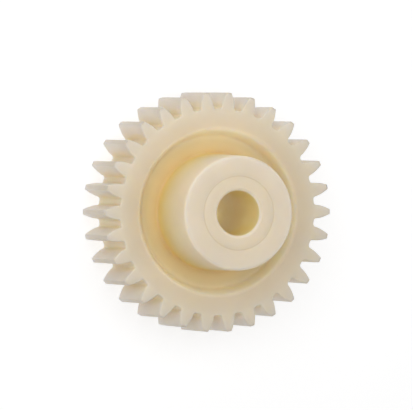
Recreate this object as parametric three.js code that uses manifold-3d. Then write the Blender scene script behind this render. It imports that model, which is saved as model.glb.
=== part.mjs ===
import * as THREE from 'three';
import { mergeVertices } from 'three/addons/utils/BufferGeometryUtils.js';
import Module from 'manifold-3d';

// Moulded spur gear in one piece: toothed rim, web recessed on both sides, long hub, plain bore.
// Millimetres. +Z runs along the bore towards the nose of the hub, z = 0 is the flat rear face,
// and one tooth points along +X.

// Teeth, from the standard rack of the module.
const MODULE = 1;
const TEETH = 30;
const PRESSURE_ANGLE = THREE.MathUtils.degToRad(20);
const ADDENDUM = 1 * MODULE;
const DEDENDUM = 1.25 * MODULE;
const TOOTH_FILLET = 0.4 * MODULE;
const BACKLASH = 0.1 * MODULE;

// Lengths along the bore.
const FACE_WIDTH = 9;
const HUB_PROJECTION = 8;
const RECESS_DEPTH = 2;

// Radii of the web and the hub. The draft makes the hub thicker towards its root.
const RECESS_MOUTH_RADIUS = 11.05;
const RECESS_FLOOR_RADIUS = 10.35;
const HUB_NOSE_RADIUS = 7.6;
const HUB_ROOT_RADIUS = 7.75;
const BORE_RADIUS = 3;

// Broken edges.
const HUB_FILLET = 0.4;
const NOSE_CHAMFER = 0.2;
const BORE_CHAMFER = 0.3;

// Fineness of the faceted surfaces. ROUND_STEPS is a multiple of the number of teeth.
const ROUND_STEPS = 3 * TEETH;
const FLANK_STEPS = 4;
const FILLET_STEPS = 3;

// How far a cutting tool runs past the face that it opens.
const OVERRUN = 1;

const PITCH_RADIUS = MODULE * TEETH / 2;
const BASE_RADIUS = PITCH_RADIUS * Math.cos(PRESSURE_ANGLE);
const TIP_RADIUS = PITCH_RADIUS + ADDENDUM;
const ROOT_RADIUS = PITCH_RADIUS - DEDENDUM;
const OVERALL_LENGTH = FACE_WIDTH + HUB_PROJECTION;
const WEB_REAR_Z = RECESS_DEPTH;
const WEB_FRONT_Z = FACE_WIDTH - RECESS_DEPTH;

// The centre of a tooth's fillet is one fillet radius from the root circle and from the flank.
const FILLET_CENTRE_RADIUS = ROOT_RADIUS + TOOTH_FILLET;
const FLANK_START_ROLL = rollLength(FILLET_CENTRE_RADIUS) - TOOTH_FILLET;

const manifold = await Module();
manifold.setup();

function polar(radius, angle) {
  return new THREE.Vector2(radius * Math.cos(angle), radius * Math.sin(angle));
}

// Length of the taut string that draws the involute, unrolled from the base circle to a radius.
function rollLength(radius) {
  return Math.sqrt(radius ** 2 - BASE_RADIUS ** 2);
}

function involute(rollAngle) {
  return Math.tan(rollAngle) - rollAngle;
}

// Half of the angle that a tooth fills at a radius on its flank. A line parallel to the flank is
// the same involute turned about the centre, so margin moves the flank out by that distance.
function halfToothAngle(radius, margin = 0) {
  const atPitch = Math.PI / (2 * TEETH) - BACKLASH / (2 * PITCH_RADIUS);
  const rollAngle = Math.acos(BASE_RADIUS / radius);
  return atPitch + involute(PRESSURE_ANGLE) - involute(rollAngle) + margin / BASE_RADIUS;
}

// Round corner between the root circle and the upper flank of the tooth on +X, root first.
function toothFillet() {
  const centreAngle = halfToothAngle(FILLET_CENTRE_RADIUS, TOOTH_FILLET);
  const centre = polar(FILLET_CENTRE_RADIUS, centreAngle);
  const flankStart = flankPoint(FLANK_START_ROLL).sub(centre).angle();
  const points = [];
  for (let step = 0; step < FILLET_STEPS; step += 1) {
    const angle = THREE.MathUtils.lerp(centreAngle + Math.PI, flankStart, step / FILLET_STEPS);
    points.push(polar(TOOTH_FILLET, angle).add(centre));
  }
  return points;
}

function flankPoint(roll) {
  const radius = Math.hypot(BASE_RADIUS, roll);
  return polar(radius, halfToothAngle(radius));
}

// Upper half of the tooth on +X, from the root to the tip.
function halfTooth() {
  const points = toothFillet();
  for (let step = 0; step <= FLANK_STEPS; step += 1) {
    const share = step / FLANK_STEPS;
    points.push(flankPoint(THREE.MathUtils.lerp(FLANK_START_ROLL, rollLength(TIP_RADIUS), share)));
  }
  return points;
}

// One whole tooth turned to its place, anticlockwise, ending in the middle of the next gap.
function toothPoints(centreAngle) {
  const upper = halfTooth();
  const lower = upper.map((point) => new THREE.Vector2(point.x, -point.y));
  const points = [...lower, ...upper.reverse(), polar(ROOT_RADIUS, Math.PI / TEETH)];
  const axis = new THREE.Vector2();
  return points.map((point) => point.rotateAround(axis, centreAngle));
}

function toothedBlank() {
  const outline = [];
  for (let tooth = 0; tooth < TEETH; tooth += 1) {
    outline.push(...toothPoints(2 * Math.PI * tooth / TEETH));
  }
  return new THREE.ExtrudeGeometry(new THREE.Shape(outline), {
    depth: FACE_WIDTH,
    bevelEnabled: false,
  });
}

// A turned body about +Z from [radius, z] points.
function turned(profile) {
  const points = profile.map(([radius, z]) => new THREE.Vector2(radius, z));
  return new THREE.LatheGeometry(points, ROUND_STEPS).rotateX(Math.PI / 2);
}

// Quarter round between a face of the web and the side of the hub, from the hub to the web.
// outward is +1 on the front face of the web and -1 on the rear one.
function hubFillet(webZ, outward) {
  const points = [];
  for (let step = 0; step <= FILLET_STEPS; step += 1) {
    const angle = Math.PI / 2 * step / FILLET_STEPS;
    const radius = HUB_ROOT_RADIUS + HUB_FILLET * (1 - Math.cos(angle));
    points.push([radius, webZ + outward * HUB_FILLET * (1 - Math.sin(angle))]);
  }
  return points;
}

// The hub starts flush with the rear face, swells into a fillet at both faces of the web, and
// tapers to its nose.
function hub() {
  return turned([
    [0, 0],
    [HUB_ROOT_RADIUS, 0],
    ...hubFillet(WEB_REAR_Z, -1),
    ...hubFillet(WEB_FRONT_Z, 1).reverse(),
    [HUB_NOSE_RADIUS, OVERALL_LENGTH - NOSE_CHAMFER],
    [HUB_NOSE_RADIUS - NOSE_CHAMFER, OVERALL_LENGTH],
    [0, OVERALL_LENGTH],
  ]);
}

// What is taken away beside the web: a round pocket with a tapered wall, from the web to past
// the face of the rim. outward is as in hubFillet.
function pocket(webZ, outward) {
  const depth = RECESS_DEPTH + OVERRUN;
  const wallSlope = (RECESS_MOUTH_RADIUS - RECESS_FLOOR_RADIUS) / RECESS_DEPTH;
  const profile = [
    [0, webZ],
    [RECESS_FLOOR_RADIUS, webZ],
    [RECESS_FLOOR_RADIUS + wallSlope * depth, webZ + outward * depth],
    [0, webZ + outward * depth],
  ];
  return turned(outward > 0 ? profile : profile.reverse());
}

function bore() {
  const chamferEnd = BORE_RADIUS + BORE_CHAMFER + OVERRUN;
  return turned([
    [0, -OVERRUN],
    [chamferEnd, -OVERRUN],
    [BORE_RADIUS, BORE_CHAMFER],
    [BORE_RADIUS, OVERALL_LENGTH - BORE_CHAMFER],
    [chamferEnd, OVERALL_LENGTH + OVERRUN],
    [0, OVERALL_LENGTH + OVERRUN],
  ]);
}

// The manifold solid of a closed three.js geometry.
function solid(geometry) {
  const shape = geometry.clone();
  shape.deleteAttribute('normal');
  shape.deleteAttribute('uv');
  const merged = mergeVertices(shape);
  return new manifold.Manifold(new manifold.Mesh({
    numProp: 3,
    vertProperties: merged.attributes.position.array,
    triVerts: new Uint32Array(merged.index.array),
  }));
}

function geometryOf(body) {
  const mesh = body.getMesh();
  const geometry = new THREE.BufferGeometry();
  geometry.setAttribute('position', new THREE.BufferAttribute(mesh.vertProperties, 3));
  geometry.setIndex(new THREE.BufferAttribute(mesh.triVerts, 1));
  geometry.computeVertexNormals();
  return geometry;
}

function gearBody() {
  const rimAndWeb = solid(toothedBlank())
    .subtract(solid(pocket(WEB_FRONT_Z, 1)))
    .subtract(solid(pocket(WEB_REAR_Z, -1)));
  return rimAndWeb.add(solid(hub())).subtract(solid(bore()));
}

function naturalAcetal() {
  return new THREE.MeshStandardMaterial({ color: 0xe6d8bf, roughness: 0.45, metalness: 0 });
}

const gear = new THREE.Mesh(geometryOf(gearBody()), naturalAcetal());
gear.name = 'spur_gear';

const assembly = new THREE.Group();
assembly.add(gear);

export default assembly;
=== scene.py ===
"""Looks of a moulded acetal spur gear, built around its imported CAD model. Lengths are in metres."""
import math

import bpy
from mathutils import Matrix, Vector


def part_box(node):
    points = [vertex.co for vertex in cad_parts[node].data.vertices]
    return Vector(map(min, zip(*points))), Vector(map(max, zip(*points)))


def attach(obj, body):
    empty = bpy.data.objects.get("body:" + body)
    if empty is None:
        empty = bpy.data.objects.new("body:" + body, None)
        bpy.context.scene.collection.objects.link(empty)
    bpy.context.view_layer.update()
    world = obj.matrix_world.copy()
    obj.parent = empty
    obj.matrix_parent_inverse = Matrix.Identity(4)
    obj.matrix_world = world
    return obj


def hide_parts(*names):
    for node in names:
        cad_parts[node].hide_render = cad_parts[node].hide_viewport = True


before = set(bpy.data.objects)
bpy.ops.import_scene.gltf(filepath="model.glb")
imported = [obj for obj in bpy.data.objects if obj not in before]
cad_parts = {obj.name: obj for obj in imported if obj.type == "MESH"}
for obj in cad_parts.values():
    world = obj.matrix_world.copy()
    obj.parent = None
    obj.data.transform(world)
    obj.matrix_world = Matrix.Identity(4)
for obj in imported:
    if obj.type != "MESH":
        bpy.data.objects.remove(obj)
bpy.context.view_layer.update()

MM = 0.001
GEAR_NODE = "spur_gear"

# The same driving dimensions as the CAD part.
TEETH = 30
PRESSURE_ANGLE = math.radians(20)
gear_low, gear_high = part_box(GEAR_NODE)
MODULE = (gear_high.x - gear_low.x) / (TEETH + 2)
OVERALL_LENGTH = gear_high.z
FACE_WIDTH = 9 * MM
RECESS_DEPTH = 2 * MM
RECESS_MOUTH_RADIUS = 11.05 * MM
RECESS_FLOOR_RADIUS = 10.35 * MM
HUB_NOSE_RADIUS = 7.6 * MM
HUB_ROOT_RADIUS = 7.75 * MM
BORE_RADIUS = 3 * MM
BORE_CHAMFER = 0.3 * MM
ADDENDUM = 1 * MODULE
DEDENDUM = 1.25 * MODULE
TOOTH_FILLET = 0.4 * MODULE
BACKLASH = 0.1 * MODULE

PITCH_RADIUS = MODULE * TEETH / 2
BASE_RADIUS = PITCH_RADIUS * math.cos(PRESSURE_ANGLE)
TIP_RADIUS = PITCH_RADIUS + ADDENDUM
ROOT_RADIUS = PITCH_RADIUS - DEDENDUM
WEB_REAR_Z = RECESS_DEPTH
WEB_FRONT_Z = FACE_WIDTH - RECESS_DEPTH

# Radius of the circle where the turned body takes over from the teeth, just below their roots.
RIM_SEAM_RADIUS = ROOT_RADIUS - 0.4 * MM

# Soft edges that the mould leaves, finer than the CAD part holds.
TIP_ROUND = 0.15 * MM
FACE_ROUND = 0.18 * MM
MOUTH_ROUND = 0.6 * MM
CORNER_ROUND = 0.45 * MM
HUB_FILLET = 0.4 * MM
NOSE_ROUND = 0.4 * MM
CHAMFER_ROUND = 0.12 * MM

# The fine ring that the sleeve of the mould leaves on both ends of the hub.
WITNESS_RADIUS = 4.9 * MM
WITNESS_WIDTH = 0.1 * MM
WITNESS_DEPTH = 0.04 * MM

# Radius on the floor of the recess where the painted amber shade at the hub's root has faded.
AMBER_SHADE_END_RADIUS = 9.5 * MM

# Colour where the plastic lies open, by distance from the axis: the bore, the face of the hub with
# the dark line of its witness ring, the side of the hub, the rim and the teeth.
# The cream is the plastic's own. The dark line is painted shade in the ring's groove, the side of the
# hub carries painted amber light, and the tips carry painted shade.
OPEN_PLASTIC_AND_PAINTED_SHADE_COLOURS = (
    (BORE_RADIUS, (1.00, 0.89, 0.82)),
    (BORE_RADIUS + BORE_CHAMFER, (0.79, 0.68, 0.51)),
    (WITNESS_RADIUS - WITNESS_WIDTH, (0.79, 0.69, 0.53)),
    # Painted shade line in the witness ring's groove.
    (WITNESS_RADIUS, (0.69, 0.58, 0.41)),
    (WITNESS_RADIUS + WITNESS_WIDTH, (0.79, 0.69, 0.53)),
    (HUB_NOSE_RADIUS - NOSE_ROUND / 2, (0.78, 0.68, 0.535)),
    (HUB_ROOT_RADIUS, (1.00, 0.81, 0.55)),
    (RECESS_MOUTH_RADIUS, (0.74, 0.625, 0.445)),
    (ROOT_RADIUS, (0.78, 0.695, 0.54)),
    (TIP_RADIUS - TIP_ROUND * 2, (0.735, 0.655, 0.525)),
    (TIP_RADIUS, (0.66, 0.56, 0.42)),
)

# Painted shade, mixed in where the plastic is shut in by other plastic: amber in the bore, at the
# side and the root of the hub, on the floor and in the corner of the recess, and in the gaps between
# the teeth.
# On the wall of the recess it is pale, a painted light.
PAINTED_HOLLOW_SHADE_COLOURS = (
    (BORE_RADIUS, (1.00, 0.80, 0.36)),
    (HUB_ROOT_RADIUS, (1.00, 0.73, 0.28)),
    (HUB_ROOT_RADIUS + HUB_FILLET, (0.70, 0.505, 0.13)),
    (AMBER_SHADE_END_RADIUS, (0.73, 0.61, 0.285)),
    (RECESS_FLOOR_RADIUS, (0.88, 0.79, 0.575)),
    (RECESS_MOUTH_RADIUS, (0.98, 0.91, 0.74)),
    (ROOT_RADIUS, (1.00, 0.84, 0.61)),
    (PITCH_RADIUS, (0.92, 0.82, 0.68)),
)

# A point has its open colour when OPEN_SHARE or more of its surroundings is open, and its painted
# shade when SHUT_SHARE or less is. Plastic further off than OCCLUSION_REACH doesn't count.
OPEN_SHARE = 0.95
SHUT_SHARE = 0.2
OCCLUSION_REACH = 12 * MM
OCCLUSION_SAMPLES = 16

# Unevenness of the plastic: cloudy colour, patchy gloss, fine mould grain and faint turning marks.
CLOUD_SIZE = 5 * MM
CLOUD_DEPTH = 0.03
GLOSS_PATCH_SIZE = 1.5 * MM
SMOOTHEST, ROUGHEST = 0.38, 0.52
GRAIN_SIZE = 0.12 * MM
GRAIN_DEPTH = 0.004 * MM
TURNING_PITCH = 0.25 * MM
TURNING_DEPTH = 0.0015 * MM

# Range that the values of Blender's noise seldom leave.
NOISE_RANGE = (0.3, 0.7)

# How the plastic bends light, and how far red, green and blue travel inside it, as shares of a
# length. The shares are chosen for the look and aren't measured values.
ACETAL_IOR = 1.48
SCATTER_SHARES = (0.7, 0.8, 1.2)
SCATTER_LENGTH = 2.5 * MM

# The camera: turned about the gear's Y axis and then tipped, far away and with a long lens.
# RIM_OFFSET is how far right and up of the picture's middle the centre of the rim's front is.
SWING = math.radians(20.1)
TILT = math.radians(0.9)
CAMERA_DISTANCE = 1000 * MM
CLIP_DISTANCE = 10 * CAMERA_DISTANCE
FRAME_WIDTH = 55 * MM
RIM_OFFSET = Vector((1.54, -0.957)) * MM

# The glowing sheets under the gear and the lights round it.
SHEET_SIZE = 2000 * MM
SHEET_COLOUR = (0.4, 0.4, 0.4, 1)
FLOOR_GLOW = 0.72
BOUNCE_GLOW = 0.42
BOUNCE_DROP = 0.1 * MM
WHITE = (1, 1, 1, 1)
WORLD_GLOW = 0.2
SOFTBOX_DISTANCE = 100 * MM
SOFTBOX_SIZE = 80 * MM

# Fineness of the mesh.
ROOT_STEPS = 3
FILLET_STEPS = 6
FLANK_STEPS = 10
TIP_STEPS = 4
LAND_STEPS = 2
EDGE_STEPS = 4
CORNER_STEPS = 8
TURNED_STEPS = 12 * TEETH
LONGEST_STEP = 1 * MM


def polar(radius, angle):
    return Vector((radius * math.cos(angle), radius * math.sin(angle)))


def involute(roll_angle):
    return math.tan(roll_angle) - roll_angle


def roll_length(radius):
    """Length of the string that draws the involute, from the base circle to a radius."""
    return math.sqrt(radius ** 2 - BASE_RADIUS ** 2)


def half_tooth_angle(radius, margin=0.0):
    """Half of the angle that a tooth fills at a radius, on a line margin outside its flank."""
    at_pitch = math.pi / (2 * TEETH) - BACKLASH / (2 * PITCH_RADIUS)
    roll_angle = math.acos(BASE_RADIUS / radius)
    return at_pitch + involute(PRESSURE_ANGLE) - involute(roll_angle) + margin / BASE_RADIUS


def flank(roll):
    """Point and outward normal of the upper flank of the tooth on +X."""
    radius = math.hypot(BASE_RADIUS, roll)
    angle = half_tooth_angle(radius)
    string_angle = angle - math.acos(BASE_RADIUS / radius)
    return polar(radius, angle), polar(1, string_angle + math.pi / 2)


def arc(centre, radius, start, end, steps, side):
    """Points and normals from start to end. side is 1 for a round edge and -1 for a hollow one."""
    points = []
    for step in range(steps + 1):
        angle = start + (end - start) * step / steps
        points.append((centre + polar(radius, angle), side * polar(1, angle)))
    return points


def tooth_root_arcs():
    """Root circle and fillet of the upper half of the tooth on +X, from the middle of the gap."""
    centre_radius = ROOT_RADIUS + TOOTH_FILLET
    centre_angle = half_tooth_angle(centre_radius, TOOTH_FILLET)
    centre = polar(centre_radius, centre_angle)
    start_roll = roll_length(centre_radius) - TOOTH_FILLET
    to_flank = flank(start_roll)[0] - centre
    end = math.atan2(to_flank.y, to_flank.x) % math.tau
    root = arc(Vector((0, 0)), ROOT_RADIUS, math.pi / TEETH, centre_angle, ROOT_STEPS, 1)
    fillet = arc(centre, TOOTH_FILLET, centre_angle + math.pi, end, FILLET_STEPS, -1)
    return root[:-1] + fillet, start_roll


def tooth_tip_arcs():
    """Rounded corner and top land of the same half tooth, up to its centre line."""
    centre_radius = TIP_RADIUS - TIP_ROUND
    centre_angle = half_tooth_angle(centre_radius, -TIP_ROUND)
    centre = polar(centre_radius, centre_angle)
    end_roll = roll_length(centre_radius) + TIP_ROUND
    to_flank = flank(end_roll)[0] - centre
    start = math.atan2(to_flank.y, to_flank.x)
    corner = arc(centre, TIP_ROUND, start, centre_angle, TIP_STEPS, 1)
    land = arc(Vector((0, 0)), TIP_RADIUS, centre_angle, 0, LAND_STEPS, 1)
    return corner + land[1:], end_roll


def half_tooth():
    """Points and normals from the middle of the gap to the middle of the tip."""
    root, start_roll = tooth_root_arcs()
    tip, end_roll = tooth_tip_arcs()
    rolls = [start_roll + (end_roll - start_roll) * s / FLANK_STEPS for s in range(1, FLANK_STEPS)]
    return root + [flank(roll) for roll in rolls] + tip


def whole_tooth():
    """Anticlockwise points and normals from one gap's middle to just before the next one's."""
    upper = half_tooth()
    flip = Matrix(((1, 0), (0, -1)))
    lower = [(flip @ point, flip @ normal) for point, normal in upper]
    return lower + upper[-2:0:-1]


def edge_rings():
    """Inset and height of each ring of the toothed edge, from the rear face to the front one."""
    rear = []
    for step in range(EDGE_STEPS + 1):
        angle = math.pi / 2 * step / EDGE_STEPS
        rear.append((FACE_ROUND * (1 - math.sin(angle)), FACE_ROUND * (1 - math.cos(angle))))
    front = [(inset, FACE_WIDTH - height) for inset, height in reversed(rear)]
    return rear + front


def rounded(corners):
    """A profile through (radius, z, rounding) corners, each rounded by an arc of that radius."""
    path = [Vector(corners[0][:2])]
    for before, here, after in zip(corners, corners[1:], corners[2:]):
        corner = Vector(here[:2])
        rounding = here[2]
        if rounding == 0:
            path.append(corner)
            continue
        arrive = (corner - Vector(before[:2])).normalized()
        leave = (Vector(after[:2]) - corner).normalized()
        turn = arrive.angle_signed(leave)
        cut = rounding * math.tan(abs(turn) / 2)
        start = corner - arrive * cut
        inward = Vector((arrive.y, -arrive.x)) * (1 if turn > 0 else -1)
        centre = start + inward * rounding
        for step in range(CORNER_STEPS + 1):
            spin = Matrix.Rotation(-turn * step / CORNER_STEPS, 2)
            path.append(centre + spin @ (start - centre))
    path.append(Vector(corners[-1][:2]))
    return path


def subdivided(path):
    """The same profile with no step longer than LONGEST_STEP."""
    points = [path[0]]
    for a, b in zip(path, path[1:]):
        count = max(1, math.ceil((b - a).length / LONGEST_STEP))
        points += [a.lerp(b, step / count) for step in range(1, count + 1)]
    return points


def turned_profile():
    """The turned body's outline, from the front of the rim over the hub and bore to the rear."""
    half_ring = WITNESS_WIDTH / 2
    chamfer_radius = BORE_RADIUS + BORE_CHAMFER
    return subdivided(rounded([
        (RIM_SEAM_RADIUS, FACE_WIDTH, 0),
        (RECESS_MOUTH_RADIUS, FACE_WIDTH, MOUTH_ROUND),
        (RECESS_FLOOR_RADIUS, WEB_FRONT_Z, CORNER_ROUND),
        (HUB_ROOT_RADIUS, WEB_FRONT_Z, HUB_FILLET),
        (HUB_NOSE_RADIUS, OVERALL_LENGTH, NOSE_ROUND),
        (WITNESS_RADIUS + half_ring, OVERALL_LENGTH, 0),
        (WITNESS_RADIUS, OVERALL_LENGTH - WITNESS_DEPTH, 0),
        (WITNESS_RADIUS - half_ring, OVERALL_LENGTH, 0),
        (chamfer_radius, OVERALL_LENGTH, CHAMFER_ROUND),
        (BORE_RADIUS, OVERALL_LENGTH - BORE_CHAMFER, CHAMFER_ROUND),
        (BORE_RADIUS, BORE_CHAMFER, CHAMFER_ROUND),
        (chamfer_radius, 0, CHAMFER_ROUND),
        (WITNESS_RADIUS - half_ring, 0, 0),
        (WITNESS_RADIUS, WITNESS_DEPTH, 0),
        (WITNESS_RADIUS + half_ring, 0, 0),
        (HUB_ROOT_RADIUS, 0, NOSE_ROUND),
        (HUB_ROOT_RADIUS, WEB_REAR_Z, HUB_FILLET),
        (RECESS_FLOOR_RADIUS, WEB_REAR_Z, CORNER_ROUND),
        (RECESS_MOUTH_RADIUS, 0, MOUTH_ROUND),
        (RIM_SEAM_RADIUS, 0, 0),
    ]))


class GearMesh:
    """One closed mesh: the toothed edge in columns of rings, the turned body in its own columns,
    and flat faces that join the two on the front and rear of the rim."""

    def __init__(self):
        self.tooth = whole_tooth()
        self.rings = edge_rings()
        self.profile = turned_profile()
        self.edge_columns = TEETH * len(self.tooth)
        self.turned_columns = TURNED_STEPS
        self.points = []
        self.faces = []

    def edge(self, ring, column):
        """Number of a point on the toothed edge."""
        return ring * self.edge_columns + column % self.edge_columns

    def turned(self, ring, column):
        """Number of a point on the turned body."""
        first = len(self.rings) * self.edge_columns
        return first + ring * self.turned_columns + column % self.turned_columns

    def add_points(self):
        for inset, height in self.rings:
            for number in range(TEETH):
                spin = Matrix.Rotation(math.tau * number / TEETH, 2)
                for point, normal in self.tooth:
                    place = spin @ (point - normal * inset)
                    self.points.append((place.x, place.y, height))
        # These columns start as the tooth points do, in the middle of a gap.
        for radius, height in self.profile:
            for column in range(self.turned_columns):
                angle = math.tau * column / self.turned_columns - math.pi / TEETH
                self.points.append((*polar(radius, angle), height))

    def add_wall(self, index, rings, columns):
        """Faces between neighbouring rings. index gives the number of a point."""
        for ring in range(rings - 1):
            for column in range(columns):
                self.faces.append((
                    index(ring, column),
                    index(ring, column + 1),
                    index(ring + 1, column + 1),
                    index(ring + 1, column),
                ))

    def add_rim_face(self, edge_ring, turned_ring, flip):
        """The flat face of the rim: a ladder of faces over each tooth and one face below it."""
        per_tooth = len(self.tooth)
        per_sector = self.turned_columns // TEETH
        for number in range(TEETH):
            start = number * per_tooth
            end = start + per_tooth
            loops = []
            for step in range(ROOT_STEPS, per_tooth // 2):
                rung = [start + step, start + step + 1, end - step - 1, end - step]
                loops.append([self.edge(edge_ring, column) for column in dict.fromkeys(rung)])
            roots = [*range(start, start + ROOT_STEPS + 1), *range(end - ROOT_STEPS, end + 1)]
            below = [self.edge(edge_ring, column) for column in roots]
            for step in range(per_sector, -1, -1):
                below.append(self.turned(turned_ring, number * per_sector + step))
            loops.append(below)
            self.faces += [loop[::-1] if flip else loop for loop in loops]

    def build(self, name):
        self.add_points()
        self.add_wall(self.edge, len(self.rings), self.edge_columns)
        self.add_wall(self.turned, len(self.profile), self.turned_columns)
        self.add_rim_face(len(self.rings) - 1, 0, flip=False)
        self.add_rim_face(0, len(self.profile) - 1, flip=True)
        mesh = bpy.data.meshes.new(name)
        mesh.from_pydata(self.points, [], self.faces)
        mesh.shade_smooth()
        body = bpy.data.objects.new(name, mesh)
        bpy.context.scene.collection.objects.link(body)
        normals = body.modifiers.new("face_weighted_normals", "WEIGHTED_NORMAL")
        normals.mode = "FACE_AREA"
        return body


def add_node(material, kind, **settings):
    node = material.node_tree.nodes.new(kind)
    for name, value in settings.items():
        setattr(node, name, value)
    return node


def occlusion(material):
    """How open a point is to the air around it, from 1 down to 0."""
    node = add_node(material, "ShaderNodeAmbientOcclusion", samples=OCCLUSION_SAMPLES)
    node.inputs["Distance"].default_value = OCCLUSION_REACH
    return node.outputs["AO"]


def axis_distance(material, place):
    """Distance of a place from the gear's axis."""
    flat = add_node(material, "ShaderNodeVectorMath", operation="MULTIPLY")
    flat.inputs[1].default_value = (1, 1, 0)
    material.node_tree.links.new(place, flat.inputs[0])
    length = add_node(material, "ShaderNodeVectorMath", operation="LENGTH")
    material.node_tree.links.new(flat.outputs["Vector"], length.inputs[0])
    return length.outputs["Value"]


def remapped(material, value, from_range, to_range=(0, 1), interpolation="LINEAR"):
    remap = add_node(material, "ShaderNodeMapRange", interpolation_type=interpolation)
    remap.inputs["From Min"].default_value, remap.inputs["From Max"].default_value = from_range
    remap.inputs["To Min"].default_value, remap.inputs["To Max"].default_value = to_range
    material.node_tree.links.new(value, remap.inputs["Value"])
    return remap.outputs["Result"]


def colour_by_radius(material, radius, stops):
    """Colour that goes from stop to stop with the distance from the axis."""
    ramp = add_node(material, "ShaderNodeValToRGB")
    elements = ramp.color_ramp.elements
    while len(elements) < len(stops):
        elements.new(1)
    for element, (stop_radius, colour) in zip(elements, stops):
        element.position = stop_radius / TIP_RADIUS
        element.color = (*colour, 1)
    share = remapped(material, radius, (0, TIP_RADIUS))
    material.node_tree.links.new(share, ramp.inputs["Fac"])
    return ramp.outputs["Color"]


def mixed(material, share, low, high):
    mix = add_node(material, "ShaderNodeMix", data_type="RGBA")
    low_socket, high_socket = (socket for socket in mix.inputs if socket.type == "RGBA")
    material.node_tree.links.new(share, mix.inputs["Factor"])
    material.node_tree.links.new(low, low_socket)
    material.node_tree.links.new(high, high_socket)
    return next(socket for socket in mix.outputs if socket.type == "RGBA")


def noise(material, place, size, detail):
    texture = add_node(material, "ShaderNodeTexNoise")
    texture.inputs["Scale"].default_value = 1 / size
    texture.inputs["Detail"].default_value = detail
    material.node_tree.links.new(place, texture.inputs["Vector"])
    return texture.outputs["Fac"]


def clouded(material, place, colour):
    """The colour, with soft lighter and darker clouds in it."""
    cloud = noise(material, place, CLOUD_SIZE, 2)
    depth = remapped(material, cloud, NOISE_RANGE, (1 - CLOUD_DEPTH, 1 + CLOUD_DEPTH))
    scale = add_node(material, "ShaderNodeVectorMath", operation="SCALE")
    material.node_tree.links.new(colour, scale.inputs[0])
    material.node_tree.links.new(depth, scale.inputs["Scale"])
    return scale.outputs["Vector"]


def turning_marks(material, place):
    """Fine rings about the axis, which the turned mould leaves."""
    rings = add_node(material, "ShaderNodeTexWave", wave_type="RINGS", rings_direction="Z")
    # Blender's wave has a period of pi / 10 at scale 1.
    rings.inputs["Scale"].default_value = math.pi / 10 / TURNING_PITCH
    material.node_tree.links.new(place, rings.inputs["Vector"])
    return rings.outputs["Fac"]


def bumped(material, height, depth, normal=None):
    bump = add_node(material, "ShaderNodeBump")
    bump.inputs["Distance"].default_value = depth
    material.node_tree.links.new(height, bump.inputs["Height"])
    if normal:
        material.node_tree.links.new(normal, bump.inputs["Normal"])
    return bump.outputs["Normal"]


def acetal():
    """Undyed acetal: satin, cream and translucent, with amber shade painted into its hollows."""
    material = bpy.data.materials.new("natural_acetal")
    material.use_nodes = True
    links = material.node_tree.links
    shader = material.node_tree.nodes["Principled BSDF"]
    place = add_node(material, "ShaderNodeTexCoord").outputs["Object"]
    radius = axis_distance(material, place)
    shares = (SHUT_SHARE, OPEN_SHARE)
    # Painted shade: how shut in a point is mixes the amber hollow colours into the open ones.
    share = remapped(material, occlusion(material), shares, interpolation="SMOOTHSTEP")
    painted_shade = colour_by_radius(material, radius, PAINTED_HOLLOW_SHADE_COLOURS)
    open_plastic_and_shade = colour_by_radius(material, radius, OPEN_PLASTIC_AND_PAINTED_SHADE_COLOURS)
    colour = clouded(material, place, mixed(material, share, painted_shade, open_plastic_and_shade))
    links.new(colour, shader.inputs["Base Color"])
    gloss = noise(material, place, GLOSS_PATCH_SIZE, 3)
    roughness = remapped(material, gloss, NOISE_RANGE, (SMOOTHEST, ROUGHEST))
    links.new(roughness, shader.inputs["Roughness"])
    turned = bumped(material, turning_marks(material, place), TURNING_DEPTH)
    grained = bumped(material, noise(material, place, GRAIN_SIZE, 2), GRAIN_DEPTH, turned)
    links.new(grained, shader.inputs["Normal"])
    shader.inputs["IOR"].default_value = ACETAL_IOR
    shader.inputs["Subsurface Weight"].default_value = 1
    shader.inputs["Subsurface Radius"].default_value = SCATTER_SHARES
    shader.inputs["Subsurface Scale"].default_value = SCATTER_LENGTH
    return material


def camera_basis():
    """Matrix that turns a direction in the row frame into right, up and back of the camera."""
    swing = Matrix.Rotation(SWING, 3, "Y")
    tilt = Matrix.Rotation(TILT, 3, "X")
    return tilt @ swing


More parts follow.
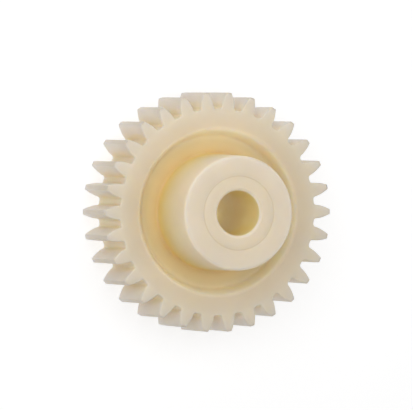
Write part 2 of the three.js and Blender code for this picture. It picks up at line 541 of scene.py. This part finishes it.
def camera():
    from_camera = camera_basis().inverted()
    data = bpy.data.cameras.new("camera")
    data.lens = data.sensor_width * CAMERA_DISTANCE / FRAME_WIDTH
    data.clip_end = CLIP_DISTANCE
    view = bpy.data.objects.new("camera", data)
    rim_front = Vector((0, 0, FACE_WIDTH))
    place = rim_front + from_camera @ Vector((*-RIM_OFFSET, CAMERA_DISTANCE))
    view.matrix_world = Matrix.Translation(place) @ from_camera.to_4x4()
    bpy.context.scene.collection.objects.link(view)
    bpy.context.scene.camera = view


def softbox(name, direction, power):
    """A square area light, aimed at the gear. direction is right, up and back of the camera."""
    data = bpy.data.lights.new(name, "AREA")
    data.size = SOFTBOX_SIZE
    data.energy = power
    toward = (camera_basis().inverted() @ Vector(direction)).normalized()
    light = bpy.data.objects.new(name, data)
    light.rotation_mode = "QUATERNION"
    light.rotation_quaternion = toward.to_track_quat("Z", "Y")
    light.location = toward * SOFTBOX_DISTANCE
    light.visible_camera = False
    bpy.context.scene.collection.objects.link(light)


def glowing_sheet(name, height, glow):
    """A large grey sheet at a height, which glows white."""
    bpy.ops.mesh.primitive_plane_add(size=SHEET_SIZE, location=(0, 0, height))
    sheet = bpy.context.object
    sheet.name = name
    material = bpy.data.materials.new(name)
    material.use_nodes = True
    shader = material.node_tree.nodes["Principled BSDF"]
    shader.inputs["Base Color"].default_value = SHEET_COLOUR
    shader.inputs["Roughness"].default_value = 1
    shader.inputs["Emission Color"].default_value = WHITE
    shader.inputs["Emission Strength"].default_value = glow
    sheet.data.materials.append(material)
    return sheet


def floor():
    """A floor that looks white, and a dimmer sheet below it that lights the gear in its place."""
    seen = glowing_sheet("floor", 0, FLOOR_GLOW)
    seen.visible_diffuse = False
    dim = glowing_sheet("floor_bounce", -BOUNCE_DROP, BOUNCE_GLOW)
    dim.visible_camera = False


def studio():
    world = bpy.data.worlds.new("studio")
    bpy.context.scene.world = world
    world.use_nodes = True
    background = world.node_tree.nodes["Background"]
    background.inputs["Color"].default_value = WHITE
    background.inputs["Strength"].default_value = WORLD_GLOW
    softbox("front", (-0.03, 0.12, 1), 0.0415)
    softbox("top", (0, 1, 0.6), 0.018)
    softbox("right", (1, 0, 0.8), 0.024)
    softbox("left", (-1, -0.2, 0.5), 0.011)
    softbox("bottom", (0, -1, 0.6), 0.005)
    bpy.context.scene.view_settings.view_transform = "Standard"


gear = GearMesh().build("moulded_gear")
gear.data.materials.append(acetal())
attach(gear, "root")
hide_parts(GEAR_NODE)
camera()
floor()
studio()
